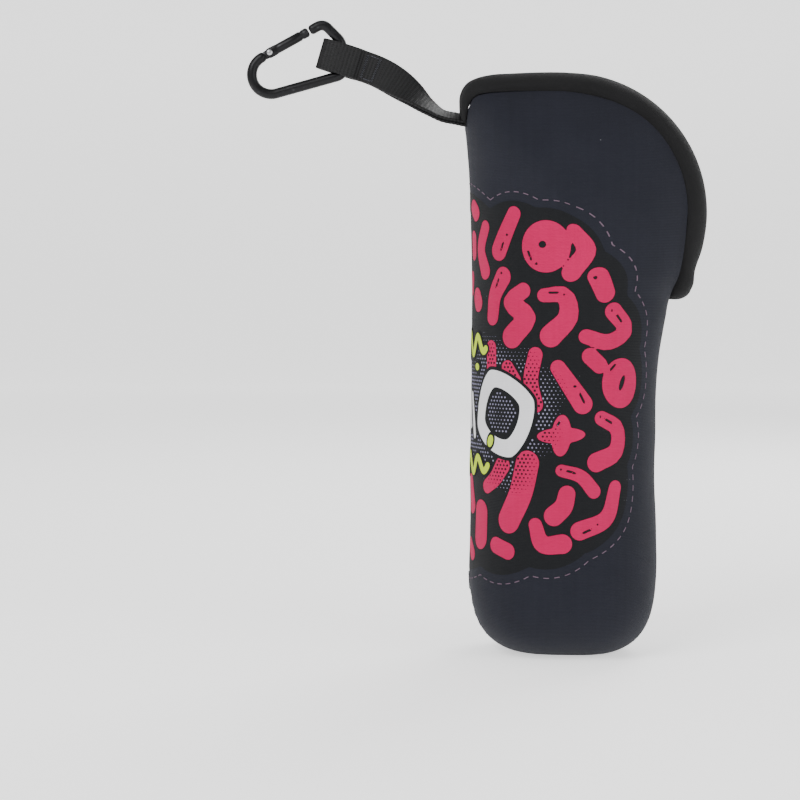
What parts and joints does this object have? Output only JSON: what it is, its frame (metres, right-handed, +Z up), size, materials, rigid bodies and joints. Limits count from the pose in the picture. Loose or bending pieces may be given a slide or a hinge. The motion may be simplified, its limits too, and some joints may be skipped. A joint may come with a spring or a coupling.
{
  "type": "pickleball ball pouch",
  "caption": "Soft zip-up pouch that stands on its base, with a zipped mouth over the top and back, a webbing strap and a small carabiner.",
  "frame": {"origin": "centre of the base that the pouch stands on", "axes": "+Z up; -X is the front with the folded edge and the strap; +X is the back with the seam and the zip's lower end; the zip lies in the plane y = 0"},
  "size_m": [0.188, 0.077, 0.2618],
  "materials": {
    "neoprene": "fine knit jersey laminated on neoprene foam, dark navy, matte",
    "gusset_knit": "black knit on neoprene, matte",
    "webbing": "black ribbed polypropylene webbing",
    "zip_nylon": "black nylon coil",
    "thread": "dark sewing thread",
    "black_metal": "black coated metal",
    "steel": "plain steel"
  },
  "bodies": {
    "pouch": {"body_panel": "neoprene", "left_fold_panel": "neoprene", "right_fold_panel": "neoprene", "front_gusset_end": "gusset_knit", "back_gusset_end": "gusset_knit", "front_zip_end": "zip_nylon", "back_zip_end": "zip_nylon", "back_seam": "thread", "front_base_seam": "thread"},
    "left_mouth": {"left_mouth_panel": "neoprene", "left_gusset_strip": "gusset_knit", "left_zip_tape": "gusset_knit", "left_zip_coil": "zip_nylon"},
    "right_mouth": {"right_mouth_panel": "neoprene", "right_gusset_strip": "gusset_knit", "right_zip_tape": "gusset_knit", "right_zip_coil": "zip_nylon"},
    "slider": {"slider_body": "black_metal", "slider_bridge": "black_metal"},
    "pull_tab": {"pull_tab": "black_metal"},
    "strap": {"strap_webbing": "webbing", "strap_loop": "webbing", "strap_stitching": "thread"},
    "carabiner": {"carabiner_frame": "black_metal", "gate_pin": "steel"},
    "gate": {"carabiner_gate": "black_metal", "gate_spring": "steel"}
  },
  "joints": [
    {"name": "zip", "type": "hinge", "parent": "pouch", "child": "slider", "pos_m": [-0.00375, 0, 0.1804], "axis": [0, 1, 0], "range_deg": [0, 129]},
    {"name": "pull_tab", "type": "hinge", "parent": "slider", "child": "pull_tab", "pos_m": [-0.02905, 0, 0.23591], "axis": [0, 1, 0], "range_deg": [-150, 0]},
    {"name": "left_mouth", "type": "hinge", "parent": "pouch", "child": "left_mouth", "pos_m": [-0.02065, 0, 0.23431], "axis": [0.7666, 0, -0.6421], "range_deg": [-46, 0], "stiffness_Nm_per_rad": 0.3, "deforming": ["left_fold_panel"]},
    {"name": "right_mouth", "type": "hinge", "parent": "pouch", "child": "right_mouth", "pos_m": [-0.02065, 0, 0.23431], "axis": [0.7666, 0, -0.6421], "range_deg": [0, 46], "stiffness_Nm_per_rad": 0.3, "deforming": ["right_fold_panel"]},
    {"name": "strap", "type": "hinge", "parent": "pouch", "child": "strap", "pos_m": [-0.0452, 0, 0.2216], "axis": [0, 1, 0], "range_deg": [-85, 55]},
    {"name": "carabiner", "type": "hinge", "parent": "strap", "child": "carabiner", "pos_m": [-0.09133, 0, 0.2453], "axis": [-0.1312, 0, 0.9914], "range_deg": [-75, 75], "deforming": ["strap_loop"]},
    {"name": "gate", "type": "hinge", "parent": "carabiner", "child": "gate", "pos_m": [-0.1217, 0, 0.2485], "axis": [0, 1, 0], "range_deg": [0, 28], "stiffness_Nm_per_rad": 0.02, "springref_deg": -11.46}
  ]
}
